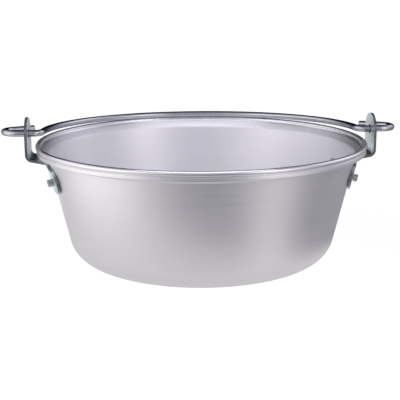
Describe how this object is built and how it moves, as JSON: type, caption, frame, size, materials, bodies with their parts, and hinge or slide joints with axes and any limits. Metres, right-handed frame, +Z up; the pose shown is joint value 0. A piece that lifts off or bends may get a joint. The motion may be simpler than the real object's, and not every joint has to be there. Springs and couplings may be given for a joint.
{
  "type": "aluminium cooking pan with bail handle",
  "caption": "Shallow conical spun aluminium pan with a rolled rim and a swinging steel bail handle carried on riveted side brackets.",
  "frame": {"origin": "centre of the pan's flat base, on the surface that it stands on", "axes": "+Z up along the pan's axis, +X along the bail's pivot axis, +Y towards the side of the rim that the folded bail rests on"},
  "size_m": [0.4392, 0.36, 0.1572],
  "materials": {
    "pan_aluminium": "fine spun satin with faint horizontal lines",
    "bracket_zinc": "pale blue-grey zinc plate",
    "rivet_steel": "plated steel, set end dimpled",
    "bail_bright": "bright plated drawn rod"
  },
  "bodies": {
    "pan": {"pan_body": "pan_aluminium", "left_bracket": "bracket_zinc", "right_bracket": "bracket_zinc", "left_front_rivet": "rivet_steel", "left_rear_rivet": "rivet_steel", "right_front_rivet": "rivet_steel", "right_rear_rivet": "rivet_steel"},
    "bail": {"bail_handle": "bail_bright"}
  },
  "joints": [
    {"name": "bail_pivot", "type": "hinge", "parent": "pan", "child": "bail", "pos_m": [0, 0, 0.1397], "axis": [1, 0, 0], "range_deg": [0, 183.7]}
  ]
}
